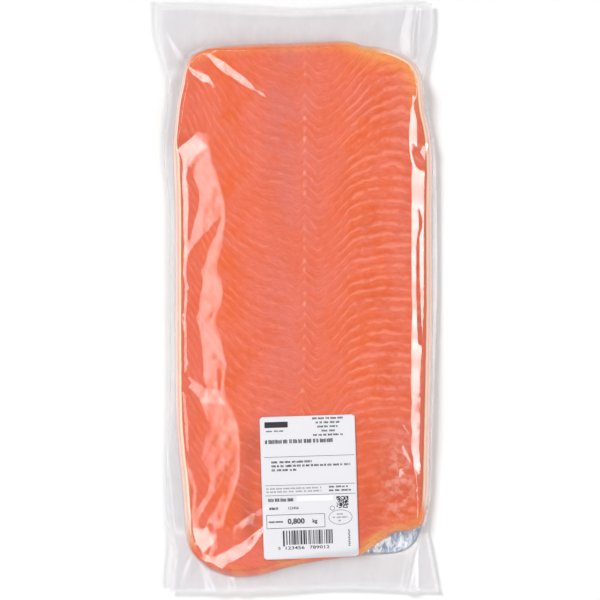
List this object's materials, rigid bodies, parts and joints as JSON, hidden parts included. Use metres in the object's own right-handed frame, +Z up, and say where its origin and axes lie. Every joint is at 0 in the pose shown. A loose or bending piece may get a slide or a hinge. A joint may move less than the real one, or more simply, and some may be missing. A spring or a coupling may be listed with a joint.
{
  "type": "vacuum pack of sliced smoked salmon",
  "caption": "Long flat clear vacuum pack that holds a presliced side of smoked salmon on a thin foil card, with flat sealed margins and a paper label on its top.",
  "frame": {"origin": "on the resting surface, under the middle of the pack's bounding box", "axes": "+Z up from the level back, +Y along the pack to its head end, away from the label, +X to the right as the label is read"},
  "size_m": [0.1945, 0.407, 0.0166],
  "materials": {
    "smoked_salmon": "moist cured fish, coral orange with pale fat lines in a herringbone",
    "clear_film": "glossy clear film, drawn tight over the fish and slightly grey in its margins",
    "foil_card": "silver foil on thin card, lightly crinkled",
    "label_paper": "smooth white label paper",
    "label_ink": "matt black thermal print"
  },
  "bodies": {
    "root": {"sealed_pack": "smoked_salmon", "label": "label_paper"}
  },
  "joints": []
}
